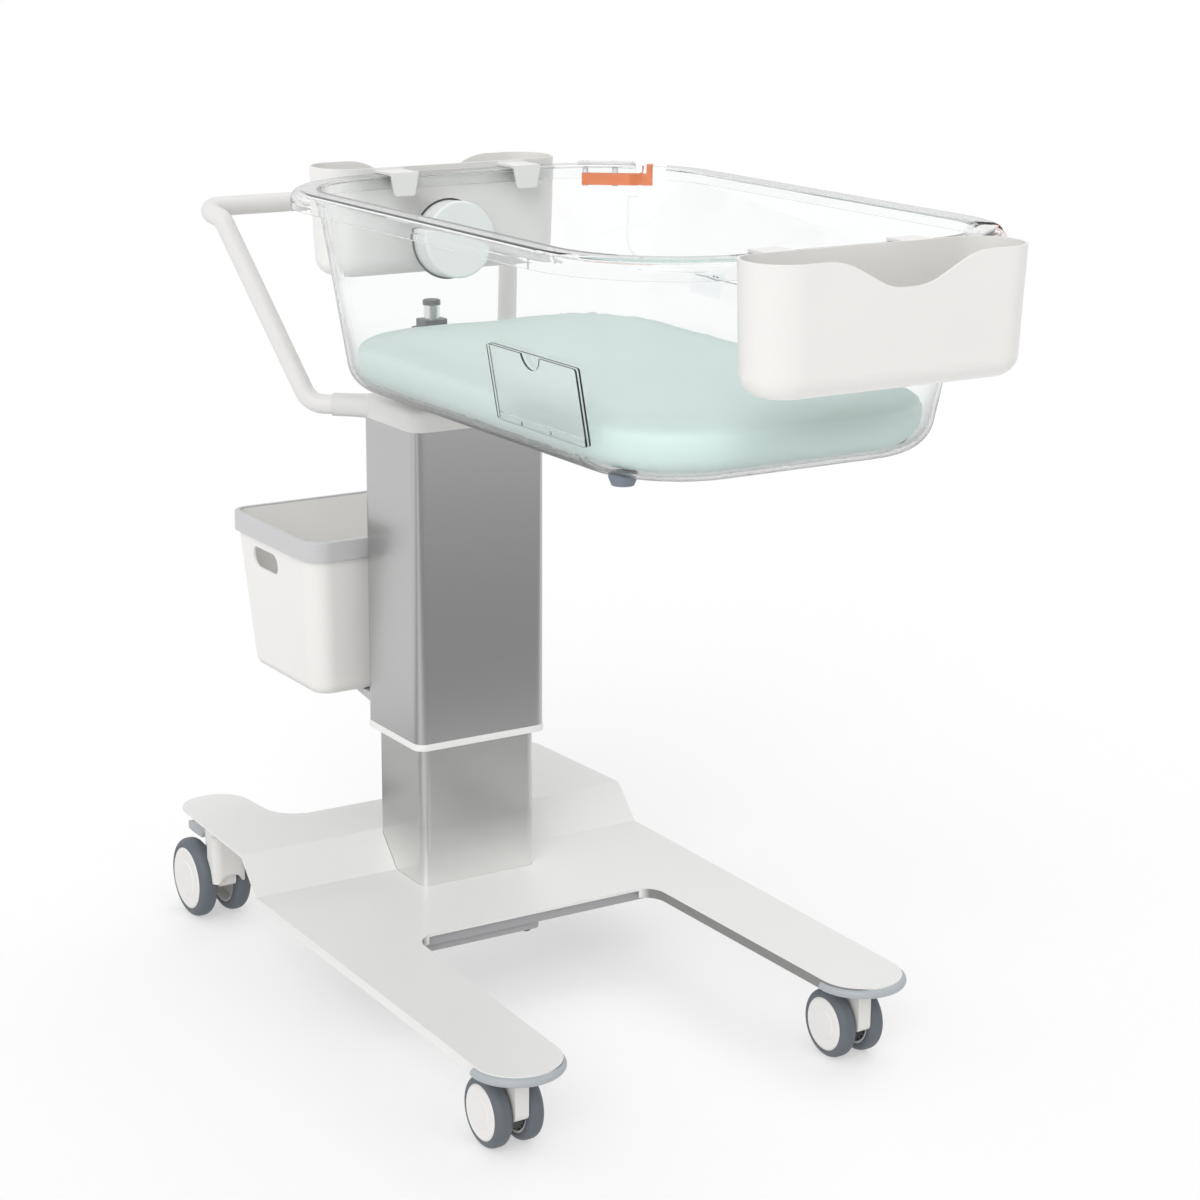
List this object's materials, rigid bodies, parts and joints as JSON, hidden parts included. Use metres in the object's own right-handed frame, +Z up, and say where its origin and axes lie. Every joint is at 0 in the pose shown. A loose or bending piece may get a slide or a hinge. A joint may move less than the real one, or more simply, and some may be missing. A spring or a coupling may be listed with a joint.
{
  "type": "hospital bassinet",
  "caption": "Hospital bassinet with a clear drop-side tub, mint mattress, clip-on storage boxes, lifting column, waste bin, push handle and low white castered base.",
  "frame": {"origin": "on the floor, under the middle of the overall length and width", "axes": "+Z up, +Y towards the push handle and waste bin, +X towards the side door"},
  "size_m": [0.523, 1.1215, 0.918],
  "materials": {
    "white_coat": "satin powder coat",
    "light_grey_coat": "satin powder coat",
    "column_grey": "satin grey coat",
    "dark_steel": "black coat",
    "tube_steel": "satin",
    "bright_steel": "polished",
    "casting": "satin",
    "handle_sleeve": "satin",
    "clear_shell": "clear plastic",
    "trim_white": "satin",
    "dark_grey": "satin",
    "silver_grey": "satin",
    "box_white": "glossy",
    "bin_white": "satin",
    "grey_plastic": "satin",
    "hood_white": "satin",
    "hub_white": "satin",
    "blue_grey": "satin",
    "orange": "satin",
    "tread": "matt",
    "bumper": "matt",
    "clear": "clear plastic",
    "mattress_cover": "coated fabric"
  },
  "bodies": {
    "base": {"base_plate": "white_coat", "base_frame": "light_grey_coat", "control_box": "grey_plastic", "control_box_feet": "blue_grey", "leg_bumpers": "bumper", "stem_sockets": "grey_plastic", "inner_tube": "tube_steel", "upper_glide": "grey_plastic", "lift_cylinder": "casting"},
    "lift": {"outer_tube": "column_grey", "column_trim_ring": "trim_white", "head_casting": "casting", "push_handle": "handle_sleeve", "release_housing": "dark_grey", "bin_bracket": "light_grey_coat", "tilt_bracket": "dark_steel", "tilt_pin": "bright_steel", "lift_rod": "bright_steel"},
    "plunger": {"release_plunger": "silver_grey", "release_cap": "dark_grey"},
    "bin": {"waste_bin": "bin_white", "bin_rim_band": "grey_plastic"},
    "tilt": {"cradle": "dark_steel"},
    "bassinet": {"tub": "clear_shell", "tub_feet": "blue_grey", "card_holder": "clear", "disc_light": "box_white", "latch_plates": "box_white", "latch_pins": "bright_steel", "hinge_leaves_tub": "clear_shell", "hinge_pins": "clear_shell"},
    "door": {"side_door": "clear_shell", "hinge_leaves_door": "clear_shell"},
    "rear_latch": {"latch_rear": "orange"},
    "front_latch": {"latch_front": "orange"},
    "bed": {"mattress": "mattress_cover"},
    "front_box": {"storage_box_front": "box_white"},
    "rear_box": {"storage_box_rear": "box_white"},
    "swivel_front_left": {"caster_hood_front_left": "hood_white"},
    "wheels_front_left": {"tyres_front_left": "tread", "hubs_front_left": "hub_white", "lock_axle_front_left": "dark_steel"},
    "pedal_front_left": {"brake_pedal_front_left": "grey_plastic"},
    "swivel_front_right": {"caster_hood_front_right": "hood_white"},
    "wheels_front_right": {"tyres_front_right": "tread", "hubs_front_right": "hub_white", "lock_axle_front_right": "dark_steel"},
    "pedal_front_right": {"brake_pedal_front_right": "grey_plastic"},
    "swivel_rear_left": {"caster_hood_rear_left": "hood_white"},
    "wheels_rear_left": {"tyres_rear_left": "tread", "hubs_rear_left": "hub_white", "lock_axle_rear_left": "dark_steel"},
    "pedal_rear_left": {"brake_pedal_rear_left": "grey_plastic"},
    "swivel_rear_right": {"caster_hood_rear_right": "hood_white"},
    "wheels_rear_right": {"tyres_rear_right": "tread", "hubs_rear_right": "hub_white", "lock_axle_rear_right": "dark_steel"},
    "pedal_rear_right": {"brake_pedal_rear_right": "grey_plastic"}
  },
  "joints": [
    {"name": "swivel_front_left", "type": "hinge", "parent": "base", "child": "swivel_front_left", "pos_m": [-0.211, -0.24025, 0.09], "axis": [0, 0, 1], "continuous": true},
    {"name": "roll_front_left", "type": "hinge", "parent": "swivel_front_left", "child": "wheels_front_left", "pos_m": [-0.211, -0.21825, 0.0375], "axis": [1, 0, 0], "continuous": true},
    {"name": "brake_front_left", "type": "hinge", "parent": "swivel_front_left", "child": "pedal_front_left", "pos_m": [-0.211, -0.22525, 0.082], "axis": [-1, 0, 0], "range_deg": [0, 12]},
    {"name": "swivel_front_right", "type": "hinge", "parent": "base", "child": "swivel_front_right", "pos_m": [0.211, -0.24025, 0.09], "axis": [0, 0, 1], "continuous": true},
    {"name": "roll_front_right", "type": "hinge", "parent": "swivel_front_right", "child": "wheels_front_right", "pos_m": [0.211, -0.21825, 0.0375], "axis": [1, 0, 0], "continuous": true},
    {"name": "brake_front_right", "type": "hinge", "parent": "swivel_front_right", "child": "pedal_front_right", "pos_m": [0.211, -0.22525, 0.082], "axis": [-1, 0, 0], "range_deg": [0, 12]},
    {"name": "swivel_rear_left", "type": "hinge", "parent": "base", "child": "swivel_rear_left", "pos_m": [-0.2, 0.47875, 0.09], "axis": [0, 0, 1], "continuous": true},
    {"name": "roll_rear_left", "type": "hinge", "parent": "swivel_rear_left", "child": "wheels_rear_left", "pos_m": [-0.2, 0.51275, 0.048], "axis": [1, 0, 0], "continuous": true},
    {"name": "brake_rear_left", "type": "hinge", "parent": "swivel_rear_left", "child": "pedal_rear_left", "pos_m": [-0.2, 0.49375, 0.103], "axis": [-1, 0, 0], "range_deg": [0, 8]},
    {"name": "swivel_rear_right", "type": "hinge", "parent": "base", "child": "swivel_rear_right", "pos_m": [0.2, 0.47875, 0.09], "axis": [0, 0, 1], "continuous": true},
    {"name": "roll_rear_right", "type": "hinge", "parent": "swivel_rear_right", "child": "wheels_rear_right", "pos_m": [0.2, 0.51275, 0.048], "axis": [1, 0, 0], "continuous": true},
    {"name": "brake_rear_right", "type": "hinge", "parent": "swivel_rear_right", "child": "pedal_rear_right", "pos_m": [0.2, 0.49375, 0.103], "axis": [-1, 0, 0], "range_deg": [0, 8]},
    {"name": "column_lift", "type": "slide", "parent": "base", "child": "lift", "axis": [0, 0, 1], "range_m": [-0.12, 0.08]},
    {"name": "release_press", "type": "slide", "parent": "lift", "child": "plunger", "axis": [0, 0, 1], "range_m": [-0.008, 0], "stiffness_N_per_m": 500},
    {"name": "bin_pull", "type": "slide", "parent": "lift", "child": "bin", "axis": [0, 1, 0], "range_m": [0, 0.3]},
    {"name": "tub_tilt", "type": "hinge", "parent": "lift", "child": "tilt", "pos_m": [0, 0.24775, 0.682], "axis": [1, 0, 0], "range_deg": [-12, 12]},
    {"name": "tub_lift_off", "type": "slide", "parent": "tilt", "child": "bassinet", "axis": [0, 0, 1], "range_m": [0, 0.25]},
    {"name": "door_drop", "type": "hinge", "parent": "bassinet", "child": "door", "pos_m": [0.21159, -0.11075, 0.804], "axis": [0, 1, 0], "range_deg": [0, 105]},
    {"name": "rear_latch_slide", "type": "slide", "parent": "bassinet", "child": "rear_latch", "axis": [-0.8039, 0.5948, 0], "range_m": [0, 0.0275]},
    {"name": "front_latch_slide", "type": "slide", "parent": "bassinet", "child": "front_latch", "axis": [-0.8039, -0.5948, 0], "range_m": [0, 0.0275]},
    {"name": "mattress_raise", "type": "slide", "parent": "bassinet", "child": "bed", "axis": [0, 0, 1], "range_m": [0, 0.028]},
    {"name": "front_box_lift_off", "type": "slide", "parent": "bassinet", "child": "front_box", "axis": [0, 0, 1], "range_m": [0, 0.15]},
    {"name": "rear_box_lift_off", "type": "slide", "parent": "bassinet", "child": "rear_box", "axis": [0, 0, 1], "range_m": [0, 0.15]}
  ]
}
